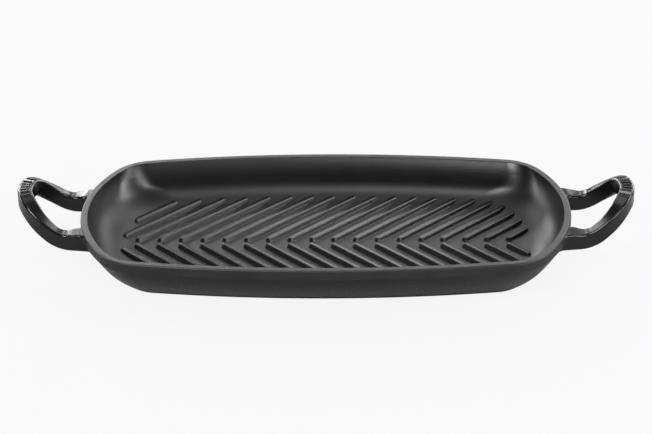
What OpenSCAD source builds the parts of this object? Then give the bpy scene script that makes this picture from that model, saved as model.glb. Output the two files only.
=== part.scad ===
// Oblong cast iron grill skillet with two raised loop handles.
// The frame is millimetres, +Z up, the long way along X, with the origin on
// the table under the middle of the pan. The rim's outline is eight arcs that
// meet at a tangent. Each level of the pan is the same outline, inset, with
// corners that get rounder on the way down to the foot.

/* [Outline] */
// Length of the rim, without the handles
rim_length = 380; // [330:1:440]
// Width of the rim
rim_width = 185; // [150:1:220]
// Radius of the four corners of the rim
corner_radius = 38; // [37:0.5:50]
// How much larger that radius gets from the collar down to the foot
corner_growth = 16; // [10:0.5:20]
// Radius of the shallow bow of each long side
side_bow = 1040; // [600:10:3000]
// Radius of the deep bow of each end
end_bow = 117; // [100:1:150]

/* [Rim and collar] */
// Thickness of the rim, seen from above
rim_thick = 5.3; // [4.5:0.1:8]
// Height of the plain collar round the rim
collar_height = 8; // [6:0.5:12]
// Rounding of the rim's top edges
rim_round = 1.5; // [0.5:0.1:2]
// Step from the collar in to the wall below it
collar_step = 1.2; // [0.6:0.1:2]
// Bevel of the collar's lower edge
collar_bevel = 0.4; // [0.2:0.1:0.5]

/* [Wall and floor] */
// Depth of the pan, from the rim to the floor
pan_depth = 30.3; // [26:0.1:45]
// Thickness of the floor
floor_thick = 6; // [4:0.5:10]
// How far the flat floor's edge lies inside the rim's outline
floor_inset = 27; // [26:0.5:29]
// Radius of the fillet that sweeps the floor up into the wall
floor_fillet = 13; // [11:0.5:14]
// Radius of the inner wall's bow, from that fillet out to the rim
lip_bow = 40; // [34:1:80]
// How far the wall's foot lies inside the rim's outline
wall_inset = 25.2; // [24:0.1:26]
// Radius of the wall's outward bow
wall_bow = 86; // [60:1:300]

/* [Foot] */
// Height of the foot ring that the pan stands on
foot_height = 2.5; // [1.5:0.1:4]
// Width of the foot ring
foot_width = 8; // [4:0.5:8.5]
// Step from the wall's foot in to the foot ring
foot_step = 2.6; // [1:0.1:3]
// Depth of the hollow in the floor's underside, inside the foot ring
base_hollow = 2.2; // [0.5:0.1:3]

/* [Ribs] */
// Distance between ribs, along the pan
rib_pitch = 17.06; // [12:0.1:25]
// Angle of the ribs from the pan's long axis
rib_angle = 45; // [35:1:60]
// Height of a rib
rib_height = 3.2; // [1.5:0.1:5]
// Width of a rib at its foot
rib_width = 5; // [4:0.1:6.5]
// Slope of a rib's sides, from upright
rib_draft = 12; // [3:1:20]
// Rounding of a rib's top edges
rib_round = 0.5; // [0.2:0.1:1]
// Distance from the rim's left end to the first whole chevron
rib_start = 43; // [40:0.5:60]
// Clear width of the channel between the two rows
row_gap = 5; // [2:0.1:12]
// How far the ribs run up the wall's fillet on the long sides
side_run = 4.5; // [2:0.1:5]
// Bare floor between the ribs and that fillet at the ends
end_margin = 2; // [0:0.5:20]

/* [Handles] */
// How far each handle reaches past the rim
handle_reach = 47.8; // [42:0.1:70]
// Radius of the loop's two bends, on its middle line
loop_radius = 28.8; // [20:0.1:32]
// Straight stretch of grip between the bends
grip_straight = 1.9; // [0.5:0.1:12]
// Angle by which the arms spread towards the pan
arm_splay = 3.3; // [0:0.1:10]
// Width of an arm where it leaves the pan
arm_width = 8.6; // [7:0.1:14]
// Thickness of an arm where it leaves the pan
arm_thick = 12.3; // [9:0.1:16]
// Width of the grip
grip_width = 11.7; // [10:0.1:18]
// Thickness of the grip
grip_thick = 13.2; // [8:0.1:15]
// Rounding of the handle's edges
handle_round = 2; // [1:0.1:3]
// How far the level arms' tops lie below the rim
arm_drop = 3.4; // [2.6:0.1:6]
// How far they still lie below it where they enter the pan
root_drop = 1.3; // [0.6:0.1:2.4]
// Length of arm outside the rim that is still level
arm_level = 5.9; // [2:0.1:12]
// Rise of the handle's middle line from the arms to the grip
grip_rise = 24.4; // [10:0.1:40]
// Length of the level grip, along the middle line
grip_level = 16.2; // [8:0.1:30]
// How much the arms widen to each side at the pan
root_flare = 2.5; // [0:0.1:3]
// Length over which they widen and their tops rise
flare_length = 24; // [8:0.5:30]

/* [Grip bars] */
// Number of raised bars on each grip
bar_count = 7; // [3:2:7]
// Distance between the bars, along the grip
bar_pitch = 4; // [3:0.1:4.4]
// Bare flat top at each end of a bar
bar_margin = 0.1; // [0:0.1:0.8]
// Width of a bar
bar_width = 1.7; // [1:0.1:2.4]
// Height of a bar
bar_height = 0.8; // [0.4:0.1:1.5]

/* [Hidden] */
$fn = 96;

// Levels, upwards from the table
floor_z = foot_height + base_hollow + floor_thick;
rim_z = floor_z + pan_depth;
collar_z = rim_z - collar_height;

// Centres of the outline's side and end arcs, as the upper right quarter has
// them
half_length = rim_length / 2;
half_width = rim_width / 2;
side_centre = [0, half_width - side_bow];
end_centre = [half_length - end_bow, 0];

// Insets of the foot ring's two sides
foot_outer = wall_inset + foot_step;
foot_inner = foot_outer + foot_width;

// Centres of the two arcs of the inner wall, a hollow one that rises from the
// floor and a bulging one that flares from it to the rim
fillet_centre = [floor_inset, floor_z + floor_fillet];
lip_centre = circles_meet([rim_thick, rim_z], lip_bow, fillet_centre, lip_bow + floor_fillet);
// Where they meet, and where the collar begins, as angles of the second one
lip_foot = atan2(fillet_centre[1] - lip_centre[1], fillet_centre[0] - lip_centre[0]);
lip_collar = asin((collar_z - lip_centre[1]) / lip_bow);
// The rim's inner edge is rounded at a tangent to that arc and to the top
edge_z = rim_z - rim_round;
lip_edge = asin((edge_z - lip_centre[1]) / (lip_bow - rim_round));
edge_inset = lip_centre[0] + (lip_bow - rim_round) * cos(lip_edge);

// Rib sizes that follow from the ones above
rib_top = rib_width - 2 * rib_height * tan(rib_draft);
rib_end = rib_width / 2;
rib_y = row_gap / 2 + rib_end;
rib_side_limit = floor_inset - side_run + rib_end;
rib_end_limit = floor_inset + end_margin + rib_end;
// Chevron points along the pan, from well before the left end to the right one
first_place = -ceil(rim_width / rib_pitch);
last_place = ceil(rim_length / rib_pitch);
rib_places = [for (i = [first_place:last_place]) rib_start - half_length + i * rib_pitch];

// Steps along a half end, a corner and a half side of the outline
end_steps = 9;
corner_steps = 11;
side_steps = 4;

// The handle's middle line, measured from the middle of the grip
grip_x = half_length + handle_reach - grip_width / 2;
bend_turn = 90 - arm_splay;
bend_length = loop_radius * bend_turn * PI / 180;
bend_end_x = grip_x - loop_radius * (1 - cos(bend_turn));
// Where it crosses the rim's end, and where its ends lie inside the pan
root_at = grip_straight / 2 + bend_length + (bend_end_x - half_length) / cos(arm_splay);
arm_bury = 20;
half_loop = root_at + arm_bury;
arm_z = rim_z - arm_drop - arm_thick / 2;
// Share of the climb that each of its two easy ends takes up
blend = 0.32;
// Steps along the loop and round each edge, and for measuring the slope
loop_stations = 44;
edge_steps = 4;
slope_step = 0.5;
bar_length = grip_width - 2 * (handle_round + bar_margin);

// Where two circles cross, on the side of greater X
function circles_meet(c1, r1, c2, r2) =
    let (d = norm(c2 - c1), u = (c2 - c1) / d, a = (r1 * r1 - r2 * r2 + d * d) / (2 * d),
        h = sqrt(r1 * r1 - a * a))
    c1 + a * u + h * [u[1], -u[0]];

// Points on an arc about c, from angle a0 to a1
function arc(c, r, a0, a1, steps) =
    [for (i = [0:steps]) let (a = a0 + (a1 - a0) * i / steps) c + r * [cos(a), sin(a)]];

// An arc of radius r that bulges to the right of the way from p to q
function bowed(p, q, r, steps) =
    let (chord = q - p, half = norm(chord) / 2, u = chord / (2 * half),
        c = (p + q) / 2 + sqrt(r * r - half * half) * [-u[1], u[0]],
        a0 = atan2(p[1] - c[1], p[0] - c[0]), turn = 2 * asin(half / r))
    arc(c, r, a0, a0 + turn, steps);

// 0 to 1 as t goes from 0 to 1, straight in the middle and easy at both ends
function ease(t) =
    let (u = max(0, min(1, t)))
    (u < blend ? u * u / (2 * blend)
        : u > 1 - blend ? 1 - blend - (1 - u) * (1 - u) / (2 * blend)
        : u - blend / 2) / (1 - blend);

// How far along the line from p, heading a, the circle about c of radius r is
// entered and left, or nothing if the line misses it
function crossings(p, a, c, r) =
    let (u = [cos(a), sin(a)], m = (c - p) * u, gap = (c - p) * (c - p) - m * m)
    gap >= r * r ? [] : [m - sqrt(r * r - gap), m + sqrt(r * r - gap)];

// The stretch of a rib from its chevron's point at x, as two distances: it
// starts at the point, or where it crosses the left end's limit, and runs to
// the side's limit or the right end's
function rib_reach(x) =
    let (p = [x, rib_y], limit = end_bow - rib_end_limit,
        left = crossings(p, rib_angle, -end_centre, limit),
        right = crossings(p, rib_angle, end_centre, limit),
        side = crossings(p, rib_angle, side_centre, side_bow - rib_side_limit),
        ends = len(right) == 2 && x + right[1] * cos(rib_angle) > end_centre[0],
        from = x > -end_centre[0] || len(left) < 2 ? 0 : max(0, left[0]),
        to = len(side) < 2 ? 0 : ends ? min(side[1], right[1]) : side[1])
    len(side) < 2 || (x < -end_centre[0] && len(left) < 2) || (x > end_centre[0] && len(right) < 2)
        ? [0, 0] : [from, to];

// Radius of the corners at height z, measured out to the rim's outline
function corner_at(z) =
    corner_radius + corner_growth * max(0, min(1, (collar_z - z) / (collar_z - foot_height)));

// A quarter of the pan's outline at height z, at an inset from the rim, from
// +X to +Y. The two angles lie between an axis of the pan and a joint of arcs.
function quarter(inset, z) =
    let (r = corner_at(z),
        c = circles_meet(side_centre, side_bow - r, end_centre, end_bow - r),
        end_angle = atan2(c[1], c[0] - end_centre[0]),
        side_angle = atan2(c[0], c[1] - side_centre[1]))
    concat(
        drop_last(arc(end_centre, end_bow - inset, 0, end_angle, end_steps)),
        drop_last(arc(c, r - inset, end_angle, 90 - side_angle, corner_steps)),
        arc(side_centre, side_bow - inset, 90 - side_angle, 90, side_steps));

// The whole outline, with no point twice
function outline(inset, z) =
    let (q = quarter(inset, z), n = len(q) - 1)
    concat(q,
        [for (i = [n - 1:-1:0]) [-q[i][0], q[i][1]]],
        [for (i = [1:n]) -q[i]],
        [for (i = [n - 1:-1:1]) [q[i][0], -q[i][1]]]);

function drop_first(list) = [for (i = [1:len(list) - 1]) list[i]];
function drop_last(list) = [for (i = [0:len(list) - 2]) list[i]];

// Sections of the pan, as inset and height
collar_outside = concat(
    [[collar_step, collar_z], [collar_bevel, collar_z], [0, collar_z + collar_bevel]],
    arc([rim_round, edge_z], rim_round, 180, 90, 4));
wall_outside = bowed([collar_step, collar_z], [wall_inset, foot_height], wall_bow, 9);
collar_section = concat(
    collar_outside,
    arc([edge_inset, edge_z], rim_round, 90, lip_edge, 3),
    drop_first(arc(lip_centre, lip_bow, lip_edge, lip_collar, 3)));
body_section = concat(
    [[foot_inner, foot_height + base_hollow], [foot_inner, foot_height]],
    [for (i = [len(wall_outside) - 1:-1:0]) wall_outside[i]],
    arc(lip_centre, lip_bow, lip_collar, lip_foot, 4),
    drop_first(arc(fillet_centre, floor_fillet, 180 + lip_foot, 270, 8)));
envelope_section = concat(
    [for (i = [len(wall_outside) - 1:-1:1]) if (wall_outside[i][1] > arm_z - arm_thick) wall_outside[i]],
    collar_outside);

// A solid with the pan's outline, whose side runs through the section's
// points. An open section is closed by a flat bottom and a flat top.
module around_pan(section, closed) {
    rings = [for (p = section) [for (q = outline(p[0], p[1])) [q[0], q[1], p[1]]]];
    n = len(rings);
    m = len(rings[0]);
    sides = [for (i = [0:n - (closed ? 1 : 2)]) for (j = [0:m - 1])
        let (k = (i + 1) % n, l = (j + 1) % m)
        each [[i * m + j, k * m + j, k * m + l], [i * m + j, k * m + l, i * m + l]]];
    caps = closed ? [] : [[for (j = [0:m - 1]) j], [for (j = [m - 1:-1:0]) (n - 1) * m + j]];
    polyhedron([for (r = rings) for (p = r) p], concat(sides, caps));
}

// Wall and floor in one casting, hollowed a little underneath
module pan_body() {
    color("#343536") around_pan(body_section, false);
}

// The upright band round the mouth, with rounded top edges
module rim_collar() {
    color("#3f4041") around_pan(collar_section, true);
}

// The ring that the pan stands on
module foot_ring() {
    color("#2c2d2e") linear_extrude(foot_height) difference() {
        polygon(outline(foot_outer, foot_height));
        polygon(outline(foot_inner, foot_height));
    }
}

// Right half of a rib's section, standing on the floor
function rib_section() = concat(
    [[0, 0], [rib_width / 2, 0]],
    arc([rib_top / 2 - rib_round * tan(45 - rib_draft / 2), rib_height - rib_round],
        rib_round, rib_draft, 90, 4),
    [[0, rib_height]]);

// A rib from p, length long, heading a, with round ends
module rib(p, length, a) {
    section = rib_section();
    translate([p[0], p[1], floor_z]) rotate(a) {
        rotate([90, 0, 90]) linear_extrude(length)
            polygon(concat(section, [for (i = [len(section) - 2:-1:1]) [-section[i][0], section[i][1]]]));
        for (x = [0, length]) translate([x, 0, 0]) rotate_extrude($fn = 32) polygon(section);
    }
}

// One row of ribs, as far as the floor carries them
module rib_row(side) {
    for (x = rib_places)
        let (reach = rib_reach(x))
        if (reach[1] - reach[0] > rib_width)
            rib([x + reach[0] * cos(rib_angle), side * (rib_y + reach[0] * sin(rib_angle))],
                reach[1] - reach[0], side * rib_angle);
}

module ribs_back() {
    color("#4a4b4c") rib_row(1);
}

module ribs_front() {
    color("#4a4b4c") rib_row(-1);
}

// Middle line of the right handle in plan, at s from the middle of the grip
function loop_line(s) =
    let (t = abs(s), side = sign(s), a = (t - grip_straight / 2) / loop_radius * 180 / PI,
        b = min(a, bend_turn), k = max(0, t - grip_straight / 2 - bend_length))
    t < grip_straight / 2 ? [grip_x, s]
        : [grip_x - loop_radius + loop_radius * cos(b) - k * cos(arm_splay),
            side * (grip_straight / 2 + loop_radius * sin(b) + k * sin(arm_splay))];

// Direction across the handle in plan, away from the middle of the loop
function loop_across(s) =
    let (t = abs(s) - grip_straight / 2, b = max(0, min(bend_turn, t / loop_radius * 180 / PI)))
    [cos(b), sign(s) * sin(b)];

// 1 on the grip, falling to 0 where the arms are level
function grip_share(s) = 1 - ease((abs(s) - grip_level / 2) / (root_at - arm_level - grip_level / 2));

// 0 along the arm, rising to 1 where it enters the pan
function flare_share(s) = pow(max(0, min(1, (abs(s) - root_at + flare_length) / flare_length)), 2);

// Height, slope and thickness of the handle, on its middle line
function loop_z(s) = arm_z + grip_rise * grip_share(s);
function loop_slope(s) = atan((loop_z(s + slope_step) - loop_z(s - slope_step)) / (2 * slope_step));
function loop_thick(s) = arm_thick + (grip_thick - arm_thick) * grip_share(s);

// The point that lies y across the section at s and z up in it
function loop_point(s, y, z) =
    let (o = loop_line(s), n = loop_across(s), a = loop_slope(s))
    [o[0] + n[0] * y + n[1] * z * sin(a), o[1] + n[1] * y - n[0] * z * sin(a), loop_z(s) + z * cos(a)];

// Points round the handle's section at s
function loop_ring(s) =
    let (flare = flare_share(s), lift = (arm_drop - root_drop) * flare, h = loop_thick(s),
        w = arm_width + (grip_width - arm_width) * grip_share(s) + 2 * root_flare * flare)
    [for (c = [[1, 1, 0], [-1, 1, 90], [-1, -1, 180], [1, -1, 270]]) for (i = [0:edge_steps])
        let (a = c[2] + 90 * i / edge_steps)
        loop_point(s, c[0] * (w / 2 - handle_round) + handle_round * cos(a),
            c[1] * (h / 2 - handle_round) + handle_round * sin(a) + (c[1] > 0 ? lift : 0))];

// The loop, swept from one arm round to the other, with its ends in the pan
module loop_sweep() {
    rings = [for (i = [0:loop_stations]) loop_ring(half_loop * (2 * i / loop_stations - 1))];
    m = len(rings[0]);
    points = [for (r = rings) for (p = r) p];
    polyhedron(points, concat(
        [[for (j = [m - 1:-1:0]) j]],
        [[for (j = [0:m - 1]) loop_stations * m + j]],
        [for (i = [0:loop_stations - 1]) for (j = [0:m - 1])
            [i * m + j, (i + 1) * m + (j + 1) % m, (i + 1) * m + j]],
        [for (i = [0:loop_stations - 1]) for (j = [0:m - 1])
            [i * m + j, i * m + (j + 1) % m, (i + 1) * m + (j + 1) % m]]));
}

// The loop, trimmed to the outside of the pan
module loop_handle() {
    difference() {
        loop_sweep();
        around_pan(envelope_section, false);
    }
}

module handle_left() {
    color("#202122") mirror([1, 0, 0]) loop_handle();
}

module handle_right() {
    color("#202122") loop_handle();
}

// Raised bars across the grip, where the maker's lettering is left off. Each
// lies flat on the grip's top, at its slope there.
module grip_bars() {
    for (i = [0:bar_count - 1])
        let (s = (i - (bar_count - 1) / 2) * bar_pitch, n = loop_across(s))
        translate(loop_point(s, 0, loop_thick(s) / 2)) rotate(atan2(n[1], n[0]))
            rotate([loop_slope(s), 0, 0]) linear_extrude(bar_height) {
                square([bar_length - bar_width, bar_width], center = true);
                for (x = [-1, 1])
                    translate([x * (bar_length - bar_width) / 2, 0]) circle(d = bar_width, $fn = 24);
            }
}

module grip_bars_left() {
    color("#5a5b5c") mirror([1, 0, 0]) grip_bars();
}

module grip_bars_right() {
    color("#5a5b5c") grip_bars();
}

pan_body();
rim_collar();
foot_ring();
ribs_back();
ribs_front();
handle_left();
handle_right();
grip_bars_left();
grip_bars_right();
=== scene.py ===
# Oblong cast iron grill skillet in black enamel, with two raised loop handles.
from math import asin, atan, atan2, ceil, cos, degrees, hypot, pi, radians, sin, sqrt, tan
import bpy
import bmesh
from mathutils import Matrix, Vector


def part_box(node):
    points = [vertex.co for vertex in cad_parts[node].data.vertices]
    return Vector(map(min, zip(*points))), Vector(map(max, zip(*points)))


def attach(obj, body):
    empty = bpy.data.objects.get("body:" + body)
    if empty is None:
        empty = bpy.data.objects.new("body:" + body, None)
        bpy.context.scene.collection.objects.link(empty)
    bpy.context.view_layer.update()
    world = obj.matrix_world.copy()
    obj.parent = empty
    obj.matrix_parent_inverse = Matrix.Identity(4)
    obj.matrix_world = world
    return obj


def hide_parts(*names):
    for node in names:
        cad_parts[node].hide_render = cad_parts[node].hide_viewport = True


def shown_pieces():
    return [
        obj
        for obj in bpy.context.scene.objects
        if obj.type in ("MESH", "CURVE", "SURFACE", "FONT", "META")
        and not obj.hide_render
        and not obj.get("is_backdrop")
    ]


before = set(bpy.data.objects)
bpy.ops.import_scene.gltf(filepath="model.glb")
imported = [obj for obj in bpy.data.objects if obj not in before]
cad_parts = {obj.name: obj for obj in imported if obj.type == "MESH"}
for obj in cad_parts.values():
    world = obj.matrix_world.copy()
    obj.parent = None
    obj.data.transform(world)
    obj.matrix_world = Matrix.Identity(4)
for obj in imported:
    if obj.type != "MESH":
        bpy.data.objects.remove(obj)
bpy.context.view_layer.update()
print("CAD model loaded:", ", ".join(sorted(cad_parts)))

# Image points in the photograph's frame, 652 x 434 pixels: features by x and y
imageWidth, imageHeight = 652, 434
imageEdges = {"left": 17.5, "right": 634.3, "top": 153.2, "bottom": 298.3}
imagePoints = {
    "leftGripTop": (32.0, 176.9),
    "rightGripTop": (620.0, 175.4),
    "rimFrontMiddle": (323.0, 271.0),
    "collarKinkLeft": (103.5, 267.0),
    "collarKinkRight": (543.0, 267.5),
    "footCornerLeft": (143.0, 292.3),
    "footCornerRight": (504.5, 291.5),
    "firstBackRib": (138.4, 238.4),
    "lastBackRib": (509.0, 238.4),
    "lastFrontRib": (528.0, 253.0),
}

# Frequently used steps: colour, nodes, selection, arcs and the last cleaning of a mesh
sameSpot = 1e-6  # metres within which two points are one


def linearColour(hexColour):
    # sRGB as written, turned to the linear values that Blender's sockets take
    values = [int(hexColour[i:i + 2], 16) / 255 for i in (1, 3, 5)]
    return [v / 12.92 if v <= 0.04045 else ((v + 0.055) / 1.055) ** 2.4 for v in values] + [1]


def addNode(tree, kind, settings=None, links=None):
    # settings are node properties or socket values by name, or sockets by number
    # links say which output feeds a socket
    node = tree.nodes.new("ShaderNode" + kind)
    for key, value in (settings or {}).items():
        if isinstance(key, str) and hasattr(node, key):
            setattr(node, key, value)
        else:
            node.inputs[key].default_value = value
    for key, output in (links or {}).items():
        tree.links.new(output, node.inputs[key])
    return node


def newMaterial(name):
    material = bpy.data.materials.new(name)
    material.use_nodes = True
    material.node_tree.nodes.clear()
    return material, material.node_tree


def deselectAll():
    if bpy.context.mode != "OBJECT":
        bpy.ops.object.mode_set(mode="OBJECT")
    bpy.ops.object.select_all(action="DESELECT")


def editMesh():
    return bmesh.from_edit_mesh(bpy.context.object.data)


def selectWhere(test, kind="verts"):
    # In edit mode: selects the vertices or faces that the test accepts, and nothing else
    mesh = editMesh()
    for element in [*mesh.verts, *mesh.edges, *mesh.faces]:
        element.select = False
    for element in getattr(mesh, kind):
        place = element.co if kind == "verts" else element.calc_center_median()
        if test(place):
            element.select = True
    mesh.select_mode = {"VERT"} if kind == "verts" else {"FACE"}
    mesh.select_flush_mode()
    bmesh.update_edit_mesh(bpy.context.object.data)


def arcPoints(centre, radius, fromAngle, toAngle, steps):
    angles = [radians(fromAngle + (toAngle - fromAngle) * i / steps) for i in range(steps + 1)]
    return [(centre[0] + radius * cos(a), centre[1] + radius * sin(a)) for a in angles]


def finishPiece(piece, smoothAngle=40):
    # Closes the seams, turns the faces outwards and lets the big faces set the shading
    deselectAll()
    piece.select_set(True)
    bpy.context.view_layer.objects.active = piece
    bpy.ops.object.mode_set(mode="EDIT")
    bpy.ops.mesh.select_all(action="SELECT")
    bpy.ops.mesh.remove_doubles(threshold=sameSpot)
    bpy.ops.mesh.normals_make_consistent(inside=False)
    bpy.ops.object.mode_set(mode="OBJECT")
    bpy.ops.object.shade_smooth_by_angle(angle=radians(smoothAngle))
    weighted = piece.modifiers.new("weighted", "WEIGHTED_NORMAL")
    weighted.keep_sharp = True
    bpy.ops.object.modifier_apply(modifier=weighted.name)
    return piece


# The pan's outline is eight arcs that meet at a tangent, at every level
outline = {
    "cornerRadius": 0.038,
    "cornerGrowth": 0.016,  # added to it from the collar down to the foot
    "sideBow": 1.040,
    "endBow": 0.117,
    "endSteps": 14,  # steps along half an end, a corner and half a side
    "cornerSteps": 18,
    "sideSteps": 12,
}
rimLow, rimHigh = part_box("rim_collar")
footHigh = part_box("foot_ring")[1]
ribLow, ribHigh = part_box("ribs_back")
halfLength, halfWidth = rimHigh.x, rimHigh.y
rimZ, collarZ, floorZ, footZ = rimHigh.z, rimLow.z, ribLow.z, footHigh.z
sideCentre = Vector((0, halfWidth - outline["sideBow"]))
endCentre = Vector((halfLength - outline["endBow"], 0))


def circlesMeet(centreA, radiusA, centreB, radiusB):
    # Of the two points that the circles share, the one to the right of the line from A to B
    between = centreB - centreA
    along = between.normalized()
    a = (radiusA ** 2 - radiusB ** 2 + between.length ** 2) / (2 * between.length)
    return centreA + a * along + sqrt(radiusA ** 2 - a * a) * Vector((along.y, -along.x))


def outlineRing(inset, z, endInset=None, cornerMore=0):
    # The outline at this height and inset, from the right end round to it again. The ends may have
    # an inset of their own, and the corners a larger radius
    endInset = inset if endInset is None else endInset
    share = max(0, min(1, (collarZ - z) / (collarZ - footZ)))
    radius = outline["cornerRadius"] + outline["cornerGrowth"] * share + cornerMore
    endBow, sideBow = outline["endBow"] - endInset, outline["sideBow"]
    centre = circlesMeet(sideCentre, sideBow - radius, endCentre, endBow - radius + inset)
    endAngle = degrees(atan2(centre.y, centre.x - endCentre.x))
    sideAngle = 90 - degrees(atan2(centre.x, centre.y - sideCentre.y))
    quarter = arcPoints(endCentre, endBow, 0, endAngle, outline["endSteps"])[:-1]
    quarter += arcPoints(centre, radius - inset, endAngle, sideAngle, outline["cornerSteps"])[:-1]
    quarter += arcPoints(sideCentre, sideBow - inset, sideAngle, 90, outline["sideSteps"])
    half = quarter + [(-x, y) for x, y in quarter[-2::-1]]
    return [Vector((x, y, z)) for x, y in half + [(x, -y) for x, y in half[-2:0:-1]]]


def layRings(name, rings):
    # A cylinder 1 m high is cut into rings, and each ring's corners are laid on the given points
    around = len(rings[0])
    deselectAll()
    bpy.ops.mesh.primitive_cylinder_add(vertices=around, radius=1, depth=1, end_fill_type="NGON")
    piece = bpy.context.object
    piece.name = piece.data.name = name
    bpy.ops.object.mode_set(mode="EDIT")
    mesh = editMesh()
    for element in [*mesh.verts, *mesh.edges, *mesh.faces]:
        element.select = False
    mesh.select_mode = {"EDGE"}
    for edge in mesh.edges:
        upright = abs(edge.verts[0].co.z - edge.verts[1].co.z) > 0.5
        edge.select = upright
    bmesh.update_edit_mesh(piece.data)
    bpy.ops.mesh.subdivide(number_cuts=len(rings) - 2)
    mesh = editMesh()
    for vertex in mesh.verts:
        ring = round((vertex.co.z + 0.5) * (len(rings) - 1))
        corner = round(atan2(vertex.co.y, vertex.co.x) / (2 * pi) * around) % around
        vertex.co = rings[ring][corner]
    bmesh.update_edit_mesh(piece.data)
    return piece


def loftRound(name, section, closed=False):
    # The section, a list of what outlineRing takes, is carried round the pan: a closed one makes a
    # ring, and an open one gets two flat caps
    rings = [outlineRing(*level) for level in section]
    piece = layRings(name, rings + rings[:1] if closed else rings)
    mesh = editMesh()
    caps = [face for face in mesh.faces if len(face.verts) > 4]
    if closed:
        bmesh.ops.delete(mesh, geom=caps, context="FACES_ONLY")
        bmesh.update_edit_mesh(piece.data)
    else:
        middles = [cap.calc_center_median() for cap in caps]
        selectWhere(lambda place: any((place - m).length < sameSpot for m in middles), "faces")
        bpy.ops.mesh.inset(thickness=pan["capBorder"], use_individual=True)
    return piece


# Rim collar, pan body and foot ring: one section of the wall, carried round
pan = {
    "rimThick": 0.0053,
    "rimRound": 0.0015,
    "collarStep": 0.0012,  # how far the collar stands out from the wall
    "collarEdge": 0.0006,  # rounding of the collar's lower edge
    "floorInset": 0.031,  # where the flat floor starts on the long sides, from the rim's outline
    "floorFillet": 0.018,
    "lipBow": 0.040,  # radius of the bulge below the rim
    "endFloorInset": 0.039,  # at the two ends the floor sweeps up to the rim in one wide arc
    "endFillet": 0.034,
    "cornerSweep": 0.022,  # the corners sweep too: their radius grows by this from rim to floor
    "wallInset": 0.0252,  # the outside of the wall at the foot
    "wallBow": 0.086,
    "footWidth": 0.008,
    "baseHollow": 0.0022,
    "footRound": 0.0005,
    "capBorder": 0.0006,  # narrow border that keeps the flat faces' shading flat
    "wallSteps": 20,  # steps along each arc of the section, from here on
    "filletSteps": 24,
    "lipSteps": 10,
    "rimLipSteps": 6,
    "rimInnerSteps": 5,
    "rimOuterSteps": 6,
    "smallSteps": 4,
}
# The inner wall is a hollow arc that rises from the floor, and a bulging one from there to the rim
fillet, lipBow = pan["floorFillet"], pan["lipBow"]
filletCentre = Vector((pan["floorInset"], floorZ + fillet))
lipCentre = circlesMeet(Vector((pan["rimThick"], rimZ)), lipBow, filletCentre, lipBow + fillet)
lipFoot = degrees(atan2(filletCentre.y - lipCentre.y, filletCentre.x - lipCentre.x))
lipCollar = degrees(asin((collarZ - lipCentre.y) / lipBow))
rimRound, collarRound = pan["rimRound"], pan["collarEdge"]
edgeZ = rimZ - rimRound
lipEdge = degrees(asin((edgeZ - lipCentre.y) / (lipBow - rimRound)))
edgeInset = lipCentre.x + (lipBow - rimRound) * cos(radians(lipEdge))
footOuter = halfLength - footHigh.x
footInner = footOuter + pan["footWidth"]
small = pan["smallSteps"]


def wallSection(steps):
    # The outside of the wall, from its foot up to the collar, bowed outwards
    foot = (pan["wallInset"], footZ)
    top = (pan["collarStep"], collarZ)
    radius = pan["wallBow"]
    half = hypot(top[0] - foot[0], top[1] - foot[1]) / 2
    along = ((foot[0] - top[0]) / (2 * half), (foot[1] - top[1]) / (2 * half))
    rise = sqrt(radius ** 2 - half ** 2)
    centre = ((foot[0] + top[0]) / 2 - rise * along[1], (foot[1] + top[1]) / 2 + rise * along[0])
    fromAngle = atan2(top[1] - centre[1], top[0] - centre[0]) * 180 / pi
    turn = 2 * asin(half / radius) * 180 / pi
    return arcPoints(centre, radius, fromAngle, fromAngle + turn, steps)[::-1]


def sweptEnds(points):
    # Inner wall points, each with its inset at the ends and the extra radius of its corners
    radius = pan["endFillet"]
    levels = []
    for inset, z in points:
        endInset = pan["endFloorInset"] - sqrt(max(0, radius ** 2 - (floorZ + radius - z) ** 2))
        levels.append((inset, z, endInset, pan["cornerSweep"] * (rimZ - z) / (rimZ - floorZ)))
    return levels


rimCollar = loftRound("rimCollar", [
    *sweptEnds(arcPoints(lipCentre, lipBow, lipCollar, lipEdge, pan["rimLipSteps"])),
    *sweptEnds(arcPoints((edgeInset, edgeZ), rimRound, lipEdge, 90, pan["rimInnerSteps"])[1:]),
    *arcPoints((rimRound, edgeZ), rimRound, 90, 180, pan["rimOuterSteps"]),
    *arcPoints((collarRound, collarZ + collarRound), collarRound, 180, 270, small),
    (pan["collarStep"], collarZ)], closed=True)
finishPiece(rimCollar)
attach(rimCollar, "root")
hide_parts("rim_collar")

wall = wallSection(pan["wallSteps"])
panBody = loftRound("panBody", [
    (footInner, footZ + pan["baseHollow"]),
    (footInner, footZ),
    *wall,
    *sweptEnds(arcPoints(lipCentre, lipBow, lipCollar, lipFoot, pan["lipSteps"])),
    *sweptEnds(arcPoints(filletCentre, fillet, 180 + lipFoot, 270, pan["filletSteps"])[1:])])
finishPiece(panBody)
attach(panBody, "root")
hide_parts("pan_body")

footRound = pan["footRound"]
footRing = loftRound("footRing", [
    (footOuter, footZ),
    *arcPoints((footOuter + footRound, footRound), footRound, 180, 270, small),
    *arcPoints((footInner - footRound, footRound), footRound, 270, 360, small),
    (footInner, footZ)], closed=True)
finishPiece(footRing)
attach(footRing, "root")
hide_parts("foot_ring")
print("Pan body, rim collar and foot ring lofted")

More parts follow.
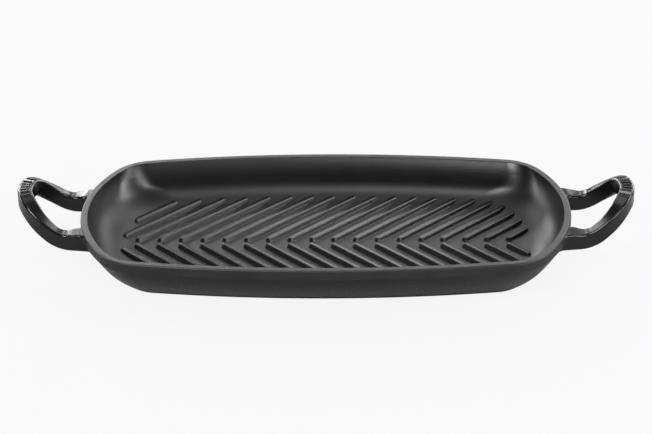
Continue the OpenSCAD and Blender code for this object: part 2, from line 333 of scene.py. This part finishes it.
# Ribs: one bar is modelled, then copied, stretched and laid in two rows
ribs = {
    "pitch": 0.01706,  # along the pan
    "angle": radians(45),
    "width": 0.005,
    "footWidth": 0.0060,
    "draft": radians(22),  # slope of the sides, from upright
    "topRound": 0.0008,
    "footFillet": 0.0004,
    "start": 0.043,  # the first chevron's point, from the left end of the rim
    "before": 4,  # ribs that start before it, cut short by the end of the floor
    "rowGap": 0.005,  # bare floor along the middle, between the rows
    "sideInset": 0.0195,  # where they end inside the rim's outline, sunk into the sides' fillet
    "endInset": 0.029,  # the same at the pan's ends
    "turns": 24,  # corners round a rib's plan
    "patternLength": 0.020,  # of the bar that is copied
}
ribHeight = ribHigh.z - ribLow.z


def roundEndedBar(name, length, profile, turns):
    # A circle whose right half is moved along, then inset and raised level by level
    deselectAll()
    radius = profile[0][0] / cos(pi / turns)
    bpy.ops.mesh.primitive_circle_add(vertices=turns, radius=radius, fill_type="NGON",
                                      rotation=(0, 0, pi / turns))
    bar = bpy.context.object
    bar.name = bar.data.name = name
    bpy.ops.object.transform_apply(rotation=True)  # so that no corner lies on x = 0
    bpy.ops.object.mode_set(mode="EDIT")
    selectWhere(lambda place: place.x > 0)
    bpy.ops.transform.translate(value=(length, 0, 0))
    bpy.ops.mesh.select_all(action="SELECT")
    for here, there in zip(profile, profile[1:]):
        bpy.ops.mesh.inset(thickness=here[0] - there[0], depth=there[1] - here[1])
    bpy.ops.object.mode_set(mode="OBJECT")
    return bar


def joinRow(name, row):
    deselectAll()
    for bar in row:
        bar.select_set(True)
    bpy.context.view_layer.objects.active = row[0]
    bpy.ops.object.join()
    piece = bpy.context.object
    piece.name = piece.data.name = name
    return piece


def barProfile(halfFoot, height, draft, footFillet, topRound):
    # Half widths and heights, from the outer edge of the foot's fillet to a little inside the top
    topShare = 0.75  # where that last ring lies: it keeps the top's shading flat
    footSteps, topSteps = 3, 4
    lean = draft * 180 / pi
    wallAt = lambda z: halfFoot - z * tan(draft)
    footRise = footFillet * (1 - sin(draft))
    fillet = arcPoints((wallAt(footRise) + footFillet * cos(draft), footFillet), footFillet, 270,
                       180 + lean, footSteps)
    topCentre = halfFoot - height * tan(draft) - topRound * tan((pi / 2 - draft) / 2)
    rounding = arcPoints((topCentre, height - topRound), topRound, lean, 90, topSteps)
    return fillet + rounding + [(topCentre * topShare, height)]


def crossings(start, angle, centre, radius):
    # How far along a line the circle is entered and left, or nothing if the line misses it
    along = Vector((cos(angle), sin(angle)))
    middle = (centre - start).dot(along)
    gap = (centre - start).length_squared - middle ** 2
    if gap >= radius ** 2:
        return None
    return middle - sqrt(radius ** 2 - gap), middle + sqrt(radius ** 2 - gap)


ribEnd = ribs["width"] / 2
ribY = ribs["rowGap"] / 2 + ribEnd
ribNumbers = range(-ribs["before"], ceil(2 * halfLength / ribs["pitch"]))
ribPlaces = [ribs["start"] - halfLength + number * ribs["pitch"] for number in ribNumbers]


def ribReach(x):
    # Where a rib starts and stops, measured from its chevron's point
    start = Vector((x, ribY))
    endLimit = outline["endBow"] - ribs["endInset"] - ribEnd
    sideLimit = outline["sideBow"] - ribs["sideInset"] - ribEnd
    left = crossings(start, ribs["angle"], -endCentre, endLimit)
    right = crossings(start, ribs["angle"], endCentre, endLimit)
    side = crossings(start, ribs["angle"], sideCentre, sideLimit)
    if not side or (x < -endCentre.x and not left) or (x > endCentre.x and not right):
        return 0, 0
    stop = side[1]
    if right and x + right[1] * cos(ribs["angle"]) > endCentre.x:
        stop = min(stop, right[1])
    return (0 if x > -endCentre.x or not left else max(0, left[0])), stop


ribShape = barProfile(ribs["footWidth"] / 2, ribHeight, ribs["draft"], ribs["footFillet"],
                      ribs["topRound"])
patternLength = ribs["patternLength"]
patternRib = roundEndedBar("patternRib", patternLength, ribShape, ribs["turns"])


def ribRow(name, side, node):
    row = []
    for x in ribPlaces:
        first, last = ribReach(x)
        if last - first <= ribs["width"]:
            continue
        deselectAll()
        patternRib.select_set(True)
        bpy.context.view_layer.objects.active = patternRib
        bpy.ops.object.duplicate(linked=False)
        rib = bpy.context.object
        bpy.ops.object.mode_set(mode="EDIT")
        selectWhere(lambda place: place.x > patternLength / 2)
        bpy.ops.transform.translate(value=(last - first - patternLength, 0, 0))
        bpy.ops.object.mode_set(mode="OBJECT")
        angle = ribs["angle"]
        rib.rotation_euler = (0, 0, side * angle)
        rib.location = (x + first * cos(angle), side * (ribY + first * sin(angle)), floorZ)
        bpy.ops.object.transform_apply(location=True, rotation=True)
        row.append(rib)
    piece = joinRow(name, row)
    finishPiece(piece)
    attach(piece, "root")
    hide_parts(node)
    print(name, "has", len(row), "ribs")
    return piece


ribsBack = ribRow("ribsBack", 1, "ribs_back")
ribsFront = ribRow("ribsFront", -1, "ribs_front")
bpy.data.objects.remove(patternRib)

# Handles: a rounded bar swept round a loop that rises from two roots on the wall
handle = {
    "loopRadius": 0.0288,
    "gripStraight": 0.0019,  # straight stretch in the middle of the grip
    "splay": radians(3.3),  # how far the two arms open towards the pan
    "armWidth": 0.0086,
    "armThick": 0.0123,
    "gripWidth": 0.0117,
    "gripThick": 0.0132,
    "edgeRound": 0.0020,
    "armDrop": 0.0034,  # top of the arms below the rim
    "rootDrop": 0.0013,  # the same at the root
    "armLevel": 0.0059,  # level stretch of each arm at its root
    "gripLevel": 0.0162,  # level stretch of the grip, end to end
    "rise": 0.0244,  # of the grip above the arms
    "rootFlare": 0.0025,  # widening towards the pan, on each side
    "flareLength": 0.024,
    "blend": 0.32,  # share of the climb's length that each of its two bends takes
    "edgeSteps": 6,
    "freeRings": 56,
    "rootFillet": 0.0040,  # fillet round the root, against the wall
    "rootReach": 0.010,  # over this length the rings turn to follow the wall
    "rootRings": (0.0082, 0.0065, 0.0050, 0.0038, 0.0028, 0.0018, 0.0012, 0.0007, 0.0003, 0.0001,
                  -0.0015),  # distances from the wall, the last one inside it
}
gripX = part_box("handle_right")[1].x - handle["gripWidth"] / 2
bendTurn = pi / 2 - handle["splay"]
bendLength = handle["loopRadius"] * bendTurn
bendEndX = gripX - handle["loopRadius"] * (1 - cos(bendTurn))
rootAt = handle["gripStraight"] / 2 + bendLength + (bendEndX - halfLength) / cos(handle["splay"])
armZ = rimZ - handle["armDrop"] - handle["armThick"] / 2


def ease(way):
    # A climb from 0 to 1, as a parabola, a straight stretch and a parabola
    way, bend = max(0, min(1, way)), handle["blend"]
    if way < bend:
        return way * way / (2 * bend) / (1 - bend)
    if way > 1 - bend:
        return (1 - bend - (1 - way) ** 2 / (2 * bend)) / (1 - bend)
    return (way - bend / 2) / (1 - bend)


def loopLine(s):
    # Middle line in plan and the direction across it, s being measured from the middle of the grip
    side = 1 if s >= 0 else -1
    halfGrip, radius, splay = handle["gripStraight"] / 2, handle["loopRadius"], handle["splay"]
    past = abs(s) - halfGrip
    if past <= 0:
        return Vector((gripX, s)), Vector((1, 0))
    turn, arm = min(bendTurn, past / radius), max(0, past - bendLength)
    place = Vector((gripX - radius * (1 - cos(turn)) - arm * cos(splay),
                    side * (halfGrip + radius * sin(turn) + arm * sin(splay))))
    return place, Vector((cos(turn), side * sin(turn)))


def gripShare(s):
    # 1 at the grip and 0 at the root
    level = handle["gripLevel"] / 2
    return 1 - ease((abs(s) - level) / (rootAt - handle["armLevel"] - level))


def loopHeight(s):
    return armZ + handle["rise"] * gripShare(s)


def loopThick(s):
    return handle["armThick"] + (handle["gripThick"] - handle["armThick"]) * gripShare(s)


def loopSlope(s):
    step = 0.0005
    return atan((loopHeight(s + step) - loopHeight(s - step)) / (2 * step))


def loopPoint(s, y, z):
    # The point that lies y across the section at s and z up in it
    place, across = loopLine(s)
    shift = z * sin(loopSlope(s))
    return Vector((place.x + across.x * y + across.y * shift,
                   place.y + across.y * y - across.x * shift,
                   loopHeight(s) + z * cos(loopSlope(s))))


def sectionPoints(s, grow):
    # Rounded rectangle across and up, widened towards the pan, and by grow in the root's fillet
    flare = max(0, min(1, (abs(s) - rootAt + handle["flareLength"]) / handle["flareLength"])) ** 2
    width = handle["armWidth"] + (handle["gripWidth"] - handle["armWidth"]) * gripShare(s)
    width += 2 * handle["rootFlare"] * flare
    thick, edge = loopThick(s), handle["edgeRound"]
    points = []
    for across, up, start in ((1, 1, 0), (-1, 1, 90), (-1, -1, 180), (1, -1, 270)):
        for i in range(handle["edgeSteps"] + 1):
            angle = radians(start + 90 * i / handle["edgeSteps"])
            y = across * (width / 2 - edge) + (edge + grow) * cos(angle)
            z = up * (thick / 2 - edge) + edge * sin(angle)
            z += (handle["armDrop"] - handle["rootDrop"]) * flare if up > 0 else grow * sin(angle)
            points.append((y, z))
    return points


def wallInsetAt(z):
    # How far the outside of the pan lies inside the rim's outline at this height
    if z >= collarZ:
        return 0
    for low, high in zip(wall, wall[1:]):
        if low[1] <= z <= high[1]:
            return low[0] + (high[0] - low[0]) * (z - low[1]) / (high[1] - low[1])
    return pan["wallInset"]


def ringAt(s, toWall=None, grow=0):
    # The handle's ring at s, or, near the pan, at a distance from the wall that it then follows
    ring = [loopPoint(s, y, z) for y, z in sectionPoints(s, grow)]
    if toWall is None:
        return ring
    across = loopLine(s)[1]
    inwards = Vector((-across.y, across.x)) * (1 if s > 0 else -1)
    for point in ring:
        radius = outline["endBow"] - wallInsetAt(point.z)
        hit = crossings(point.xy, atan2(inwards.y, inwards.x), endCentre, radius)
        point.xy += inwards * (hit[0] - toWall)
    return ring


def makeHandle(name, node, side):
    reach, fillet, free = handle["rootReach"], handle["rootFillet"], handle["freeRings"]
    splay = handle["splay"]
    bendEnd = rootAt - (bendEndX - halfLength) / cos(splay)
    wallAt = bendEnd + crossings(loopLine(bendEnd)[0], pi - splay, endCentre, outline["endBow"])[0]
    rings = [ringAt((wallAt - reach) * (2 * i / free - 1)) for i in range(free + 1)]
    for sign in (-1, 1):
        close = []
        for distance in handle["rootRings"]:
            inFillet = max(0, fillet - max(0, distance))
            grow = fillet - sqrt(fillet ** 2 - inFillet ** 2)
            s = sign * (wallAt - distance)
            share = min(1, 1 - (max(distance, 0) - fillet) / (reach - fillet))
            follows = ringAt(s, toWall=distance, grow=grow)
            close.append([a.lerp(b, share) for a, b in zip(ringAt(s, grow=grow), follows)])
        rings = rings + close if sign > 0 else close[::-1] + rings
    piece = layRings(name, [[Vector((side * p.x, p.y, p.z)) for p in ring] for ring in rings])
    finishPiece(piece)
    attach(piece, "root")
    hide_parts(node)
    return piece


handleRight = makeHandle("handleRight", "handle_right", 1)
handleLeft = makeHandle("handleLeft", "handle_left", -1)
print("Handles swept")

# Grip bars: plain raised bars across each grip
gripBars = {
    "count": 7,
    "pitch": 0.0040,
    "margin": 0.0001,  # bare flat top at each end of a bar
    "width": 0.0017,
    "height": 0.0008,
    "draft": radians(8),
    "topRound": 0.00035,
    "footFillet": 0.0003,
    "turns": 16,
}


def makeGripBars(name, node, side):
    shape = barProfile(gripBars["width"] / 2, gripBars["height"], gripBars["draft"],
                       gripBars["footFillet"], gripBars["topRound"])
    flatTop = handle["gripWidth"] - 2 * (handle["edgeRound"] + gripBars["margin"])
    span = flatTop - gripBars["width"]
    row = []
    for number in range(gripBars["count"]):
        s = (number - (gripBars["count"] - 1) / 2) * gripBars["pitch"]
        across = loopLine(s)[1]
        bar = roundEndedBar("gripBar", span, shape, gripBars["turns"])
        bar.matrix_world = (Matrix.Translation(loopPoint(s, 0, loopThick(s) / 2))
                            @ Matrix.Rotation(atan2(across.y, across.x), 4, "Z")
                            @ Matrix.Rotation(loopSlope(s), 4, "X")
                            @ Matrix.Translation((-span / 2, 0, 0)))
        bpy.ops.object.transform_apply(location=True, rotation=True)
        row.append(bar)
    piece = joinRow(name, row)
    bpy.ops.object.mode_set(mode="EDIT")
    bpy.ops.mesh.select_all(action="SELECT")
    bpy.ops.transform.resize(value=(side, 1, 1), center_override=(0, 0, 0))
    finishPiece(piece)
    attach(piece, "root")
    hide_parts(node)
    return piece


gripBarsLeft = makeGripBars("gripBarsLeft", "grip_bars_left", -1)
gripBarsRight = makeGripBars("gripBarsRight", "grip_bars_right", 1)
print("Grip bars laid")

# Vitreous enamel fired on cast iron: black glass over the slow waves of a sand casting, with the
# fine grain of a sprayed coat. The real grain, 0.1 to 0.3 mm, is too fine to show in the render, so
# it is drawn as coarse as it needs to show, at 1.1 to 1.5 mm. All lengths are in metres.
enamels = {
    # Inside of the pan, fired matt: gives the eye broad soft glows, and a duller floor between ribs
    "mattBlackEnamel": {
        "colours": ("#0f0f10", "#141415"),
        "roughness": 0.30,
        "spread": 0.05,
        "grain": 0.0015,
        "grainDepth": 0.00008,
        "wave": 0.03,
        "waveDepth": 0.0001,
        "floorRoughness": 0.46,
    },
    # Ribs, where the coat draws smooth: gives the eye thin bright lines along their tops
    "smoothBlackEnamel": {
        "colours": ("#131314", "#19191a"),
        "roughness": 0.24,
        "spread": 0.04,
        "grain": 0.0011,
        "grainDepth": 0.00002,
        "wave": 0.03,
        "waveDepth": 0.0001,
    },
    # Outside of the wall and foot, fired satin: gives the eye a deep, even black with a faint tooth
    "satinBlackEnamel": {
        "colours": ("#0c0c0d", "#101011"),
        "roughness": 0.28,
        "spread": 0.04,
        "grain": 0.0013,
        "grainDepth": 0.00005,
        "wave": 0.03,
        "waveDepth": 0.0001,
    },
    # Rim and collar, where the coat is thin and dull: gives the eye a greyer, mottled band
    "rimBlackEnamel": {
        "colours": ("#19191a", "#212122"),
        "roughness": 0.46,
        "spread": 0.06,
        "grain": 0.0014,
        "grainDepth": 0.00012,
        "wave": 0.02,
        "waveDepth": 0.0001,
    },
    # Handles, fired glossy: gives the eye the darkest black, with crisp lights on its edges
    "glossBlackEnamel": {
        "colours": ("#0b0b0c", "#0f0f10"),
        "roughness": 0.23,
        "spread": 0.04,
        "grain": 0.0013,
        "grainDepth": 0.00004,
        "wave": 0.02,
        "waveDepth": 0.0001,
    },
}
coat = {
    "ior": 1.5,
    "grainDetail": 3,
    "grainBreakUp": 0.6,
    "waveDetail": 2,
    "toneSpan": (0.35, 0.65),  # part of the slow waves over which the colour changes
    "floorFade": 0.016,  # height above the floor where its coarser coat has faded to the wall's
}


def enamel(name, values):
    roughness, spread = values["roughness"], values["spread"]
    material, tree = newMaterial(name)
    place = addNode(tree, "TexCoord").outputs["Object"]
    fine = addNode(tree, "TexNoise",
                   {"Scale": 1 / values["grain"], "Detail": coat["grainDetail"],
                    "Roughness": coat["grainBreakUp"]},
                   {"Vector": place})
    slow = addNode(tree, "TexNoise", {"Scale": 1 / values["wave"], "Detail": coat["waveDetail"]},
                   {"Vector": place})
    shade = addNode(tree, "ValToRGB", None, {"Fac": slow.outputs["Fac"]})
    steps = shade.color_ramp.elements
    for step, position, colour in zip(steps, coat["toneSpan"], values["colours"]):
        step.position = position
        step.color = linearColour(colour)
    rough = addNode(tree, "MapRange", {"To Min": roughness - spread, "To Max": roughness + spread},
                    {"Value": fine.outputs["Fac"]})
    if "floorRoughness" in values:
        # The coat lies coarser on the floor between the ribs than on the wall
        height = addNode(tree, "SeparateXYZ", None, {"Vector": place}).outputs["Z"]
        coarse = addNode(tree, "MapRange",
                         {"From Min": floorZ, "From Max": floorZ + coat["floorFade"],
                          "To Min": values["floorRoughness"] - roughness, "To Max": 0},
                         {"Value": height})
        rough = addNode(tree, "Math", {"operation": "ADD"},
                        {0: rough.outputs[0], 1: coarse.outputs[0]})
    waves = addNode(tree, "Bump", {"Strength": 1, "Distance": values["waveDepth"]},
                    {"Height": slow.outputs["Fac"]})
    grains = addNode(tree, "Bump", {"Strength": 1, "Distance": values["grainDepth"]},
                     {"Height": fine.outputs["Fac"], "Normal": waves.outputs["Normal"]})
    shader = addNode(tree, "BsdfPrincipled", {"IOR": coat["ior"]},
                     {"Base Color": shade.outputs["Color"], "Roughness": rough.outputs[0],
                      "Normal": grains.outputs["Normal"]})
    addNode(tree, "OutputMaterial", None, {"Surface": shader.outputs["BSDF"]})
    return material


finishes = {name: enamel(name, values) for name, values in enamels.items()}
insideFaces = {"inwards": 0.1, "upwards": 0.9}  # a normal past either is on the pan's inside


def dress(piece, outside, inside=None, floorToo=True):
    # The inside finish goes on the faces that look towards the pan's middle, and on those that look
    # up where floorToo says so
    piece.data.materials.clear()
    piece.data.materials.append(finishes[outside])
    if not inside:
        return
    piece.data.materials.append(finishes[inside])
    for face in piece.data.polygons:
        outwards = Vector((face.center.x, face.center.y, 0)).normalized()
        looksIn = face.normal.dot(outwards) < -insideFaces["inwards"]
        looksUp = floorToo and face.normal.z > insideFaces["upwards"]
        face.material_index = 1 if looksIn or looksUp else 0


dress(panBody, "satinBlackEnamel", "mattBlackEnamel")
dress(rimCollar, "rimBlackEnamel", "mattBlackEnamel", floorToo=False)
dress(footRing, "satinBlackEnamel")
for piece in (ribsBack, ribsFront):
    dress(piece, "smoothBlackEnamel")
for piece in (handleLeft, handleRight, gripBarsLeft, gripBarsRight):
    dress(piece, "glossBlackEnamel")
print("Enamels made:", ", ".join(finishes))

# Pale paper floor, white background and soft boxes
stage = {
    "backdropColour": "#ffffff",
    "floorColour": "#a6a6a6",
    "floorSize": 12,
    "floorDrop": 0.0002,  # just clear of the foot
    "floorGlow": 0.88,  # share of the floor that shows as white paper, the rest keeps the shadow
    "mirrored": 0.03,  # how much of the white background the enamel mirrors
    "ambient": 0.02,
    "domeRadius": 2.4,
    "domeCentre": (0, 0, 0.03),
}
lamps = {
    # On a dome round the pan: azimuth from the front to the right, elevation, size, brightness
    "frontRightBox": (36, 21, 0.55, 19),
    "sideFrontRightBox": (60, 14, 0.42, 15),
    "sideRightBox": (85, 20, 0.42, 22),
    "sideRightLowPanel": (80, 12, 0.85, 2.5),
    "sideRightPanel": (100, 32, 0.85, 9.4),
    "backRightLowPanel": (140, 12, 0.85, 5.0),
    "backLowPanel": (160, 12, 0.85, 5.2),
    "backRightHighPanel": (150, 52, 0.90, 3.0),
    "backRightMidPanel": (138, 33, 0.85, 3.0),
    "backLeftMidPanel": (205, 36, 0.85, 1.2),
    "backHighBox": (175, 46, 0.50, 8.5),
    "backBox": (180, 31, 0.42, 4.2),
    "backLeftBox": (197, 20, 0.42, 17),
    "backLeftLowBox": (215, 14, 0.42, 31),
    "backLeftPanel": (222, 32, 0.85, 3.2),
    "frontLeftHighPanel": (345, 66, 0.90, 1.6),
    "topPanel": (216, 74, 1.00, 1.8),
    "sideLeftPanel": (240, 12, 0.85, 5.0),
    "leftLowPanel": (260, 12, 0.85, 5.8),
    "frontLeftBox": (330, 45, 0.70, 22),
}


def backdropShare(tree, whole):
    # Share of a ray that sees the white background: all of a camera ray, a little of a mirrored one
    ray = addNode(tree, "LightPath")
    straight = addNode(tree, "Math", {"operation": "ADD"},
                       {0: ray.outputs["Is Camera Ray"], 1: ray.outputs["Is Transmission Ray"]})
    both = addNode(tree, "Math", {"operation": "MULTIPLY_ADD", 1: stage["mirrored"]},
                   {0: ray.outputs["Is Glossy Ray"], 2: straight.outputs[0]})
    share = addNode(tree, "Math", {"operation": "MULTIPLY", 1: whole}, {0: both.outputs[0]})
    return share.outputs[0]


deselectAll()
bpy.ops.mesh.primitive_plane_add(size=stage["floorSize"], location=(0, 0, -stage["floorDrop"]))
floor = bpy.context.object
floor.name = floor.data.name = "floor"
paper, tree = newMaterial("palePaper")
backdropColour = linearColour(stage["backdropColour"])
diffuse = addNode(tree, "BsdfDiffuse", {"Color": linearColour(stage["floorColour"])})
glow = addNode(tree, "Emission", {"Color": backdropColour, "Strength": 1.0})
shining = backdropShare(tree, stage["floorGlow"])
mixed = addNode(tree, "MixShader", None, {0: shining, 1: diffuse.outputs[0], 2: glow.outputs[0]})
addNode(tree, "OutputMaterial", None, {"Surface": mixed.outputs[0]})
floor.data.materials.append(paper)
floor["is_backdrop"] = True
print("Floor laid")

world = bpy.data.worlds.new("studio")
bpy.context.scene.world = world
world.use_nodes = True
tree = world.node_tree
tree.nodes.clear()
dim = addNode(tree, "Background", {"Color": backdropColour, "Strength": stage["ambient"]})
white = addNode(tree, "Background", {"Color": backdropColour, "Strength": 1.0})
shining = backdropShare(tree, 1)
mixed = addNode(tree, "MixShader", None, {0: shining, 1: dim.outputs[0], 2: white.outputs[0]})
addNode(tree, "OutputWorld", None, {"Surface": mixed.outputs[0]})

for name, (azimuth, elevation, size, brightness) in lamps.items():
    turn, lift = radians(azimuth), radians(elevation)
    place = stage["domeRadius"] * Vector((sin(turn) * cos(lift), -cos(turn) * cos(lift), sin(lift)))
    bpy.ops.object.light_add(type="AREA", location=place)
    lamp = bpy.context.object
    lamp.name = lamp.data.name = name
    lamp.data.shape = "SQUARE"
    lamp.data.size = size
    lamp.data.energy = pi * size ** 2 * brightness  # so a larger box looks just as bright
    aim = Vector(stage["domeCentre"]) - place
    lamp.rotation_euler = aim.to_track_quat("-Z", "Y").to_euler()
print("Lamps hung:", len(lamps))

# Camera, settled by the image points
camera = {
    "azimuth": radians(1.8),  # to the right of the pan's front
    "elevation": radians(29.7),
    "roll": radians(-1.04),
    "distance": 1.815,
    "aim": (0.0004, -0.0027, 0.0362),
    "lens": 129.2,
    "sensor": 36.0,
}


def placeCamera():
    turn, lift, roll = camera["azimuth"], camera["elevation"], camera["roll"]
    forward = Vector((-sin(turn) * cos(lift), cos(turn) * cos(lift), -sin(lift)))
    right = Vector((cos(turn), sin(turn), 0))
    up = right.cross(forward)
    right, up = right * cos(roll) + up * sin(roll), up * cos(roll) - right * sin(roll)
    data = bpy.data.cameras.new("camera")
    data.lens = camera["lens"]
    data.sensor_width = camera["sensor"]
    data.sensor_fit = "AUTO"
    viewer = bpy.data.objects.new("camera", data)
    bpy.context.scene.collection.objects.link(viewer)
    place = Vector(camera["aim"]) - forward * camera["distance"]
    turned = Matrix((right, up, -forward)).transposed().to_4x4()
    viewer.matrix_world = Matrix.Translation(place) @ turned
    bpy.context.scene.camera = viewer
    return viewer


eye = placeCamera()
bpy.context.scene.view_settings.view_transform = "Standard"
bpy.context.view_layer.update()
print("Camera placed")


def imagePlace(point):
    # Where a point in metres shows, in the photograph's pixels
    local = eye.matrix_world.inverted() @ Vector(point)
    scale = max(imageWidth, imageHeight) * camera["lens"] / camera["sensor"] / -local.z
    return imageWidth / 2 + local.x * scale, imageHeight / 2 - local.y * scale


def shownVertices(*pieces):
    return [imagePlace(vertex.co) for piece in pieces for vertex in piece.data.vertices]


def nearestTo(name, points):
    # Of these points of an edge, the one that shows nearest to the image point
    x, y = imagePoints[name]
    places = [imagePlace(point) for point in points]
    return min(places, key=lambda place: hypot(place[0] - x, place[1] - y))


def ribTip(x, side, which):
    # The tip of a rib's top, at its chevron (0) or at the wall (1)
    along = ribReach(x)[which] + ribEnd * (2 * which - 1)
    angle = side * ribs["angle"]
    tip = (x + along * cos(angle), side * ribY + along * sin(angle), floorZ + ribHeight)
    return imagePlace(tip)


reaches = [(x, *ribReach(x)) for x in ribPlaces]
chevrons = [x for x, first, last in reaches if first == 0 and last > ribs["width"]]
rimFront = outlineRing(rimRound / 4, rimZ - rimRound / 4)  # where the rim's rounded edge turns
collarFoot = outlineRing(0, collarZ + collarRound)
footEdge = outlineRing(footOuter, footRound)
found = {
    "leftGripTop": min(shownVertices(handleLeft), key=lambda place: place[1]),
    "rightGripTop": min(shownVertices(handleRight), key=lambda place: place[1]),
    "rimFrontMiddle": nearestTo("rimFrontMiddle", rimFront),
    "collarKinkLeft": nearestTo("collarKinkLeft", collarFoot),
    "collarKinkRight": nearestTo("collarKinkRight", collarFoot),
    "footCornerLeft": nearestTo("footCornerLeft", footEdge),
    "footCornerRight": nearestTo("footCornerRight", footEdge),
    "firstBackRib": ribTip(chevrons[0], 1, 0),
    "lastBackRib": ribTip(chevrons[-1], 1, 0),
    "lastFrontRib": ribTip(chevrons[-1], -1, 1),
}
ends = shownVertices(*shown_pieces())
xs, ys = [x for x, y in ends], [y for x, y in ends]
shown = {"left": min(xs), "right": max(xs), "top": min(ys), "bottom": max(ys)}
written = {name: round(shown[name] - value, 2) for name, value in imageEdges.items()}
for name, (x, y) in imagePoints.items():
    written[name] = [round(found[name][0] - x, 2), round(found[name][1] - y, 2)]
print("Points:", written)
